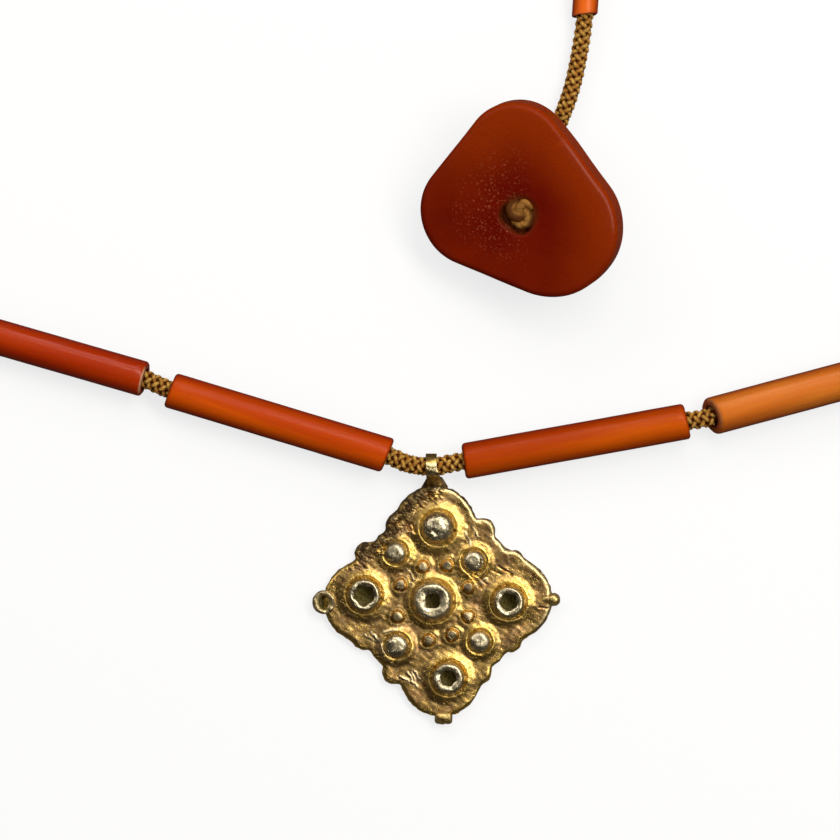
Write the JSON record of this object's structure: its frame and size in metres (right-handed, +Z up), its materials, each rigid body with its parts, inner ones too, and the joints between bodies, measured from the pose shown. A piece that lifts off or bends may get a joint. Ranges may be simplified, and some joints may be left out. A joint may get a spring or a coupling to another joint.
{
  "type": "charm necklace",
  "caption": "Slip-on necklace of long tube beads on a braided cord, with a domed gold cross charm on a bail and a thinner tail that ends in a pierced amber disc.",
  "frame": {"origin": "Centre of the bounding box's base, on the surface that the necklace lies on, near the middle of the loop", "axes": "+X to the wearer's left as the loop lies, +Y from the charm towards the knot at the back, +Z up from the surface"},
  "size_m": [0.2686, 0.2004, 0.017],
  "materials": {
    "braid": "golden-brown round braid of waxed cotton",
    "resin": "polished orange-red translucent resin",
    "bright_resin": "polished bright orange resin",
    "amber": "polished dark red amber, worn at its hole",
    "worn_gold": "worn gold over silver, tarnished in its grooves"
  },
  "bodies": {
    "root": {"loop_cord": "braid", "tail_cord": "braid", "join_knot": "braid", "tail_bead": "bright_resin", "disc": "amber", "charm": "worn_gold", "bead_left_1": "resin", "bead_left_2": "resin", "bead_left_3": "resin", "bead_left_4": "resin", "bead_left_5": "resin", "bead_left_6": "resin", "bead_left_7": "resin", "bead_right_1": "resin", "bead_right_2": "resin", "bead_right_3": "resin", "bead_right_4": "resin", "bead_right_5": "resin", "bead_right_6": "resin"}
  },
  "joints": []
}
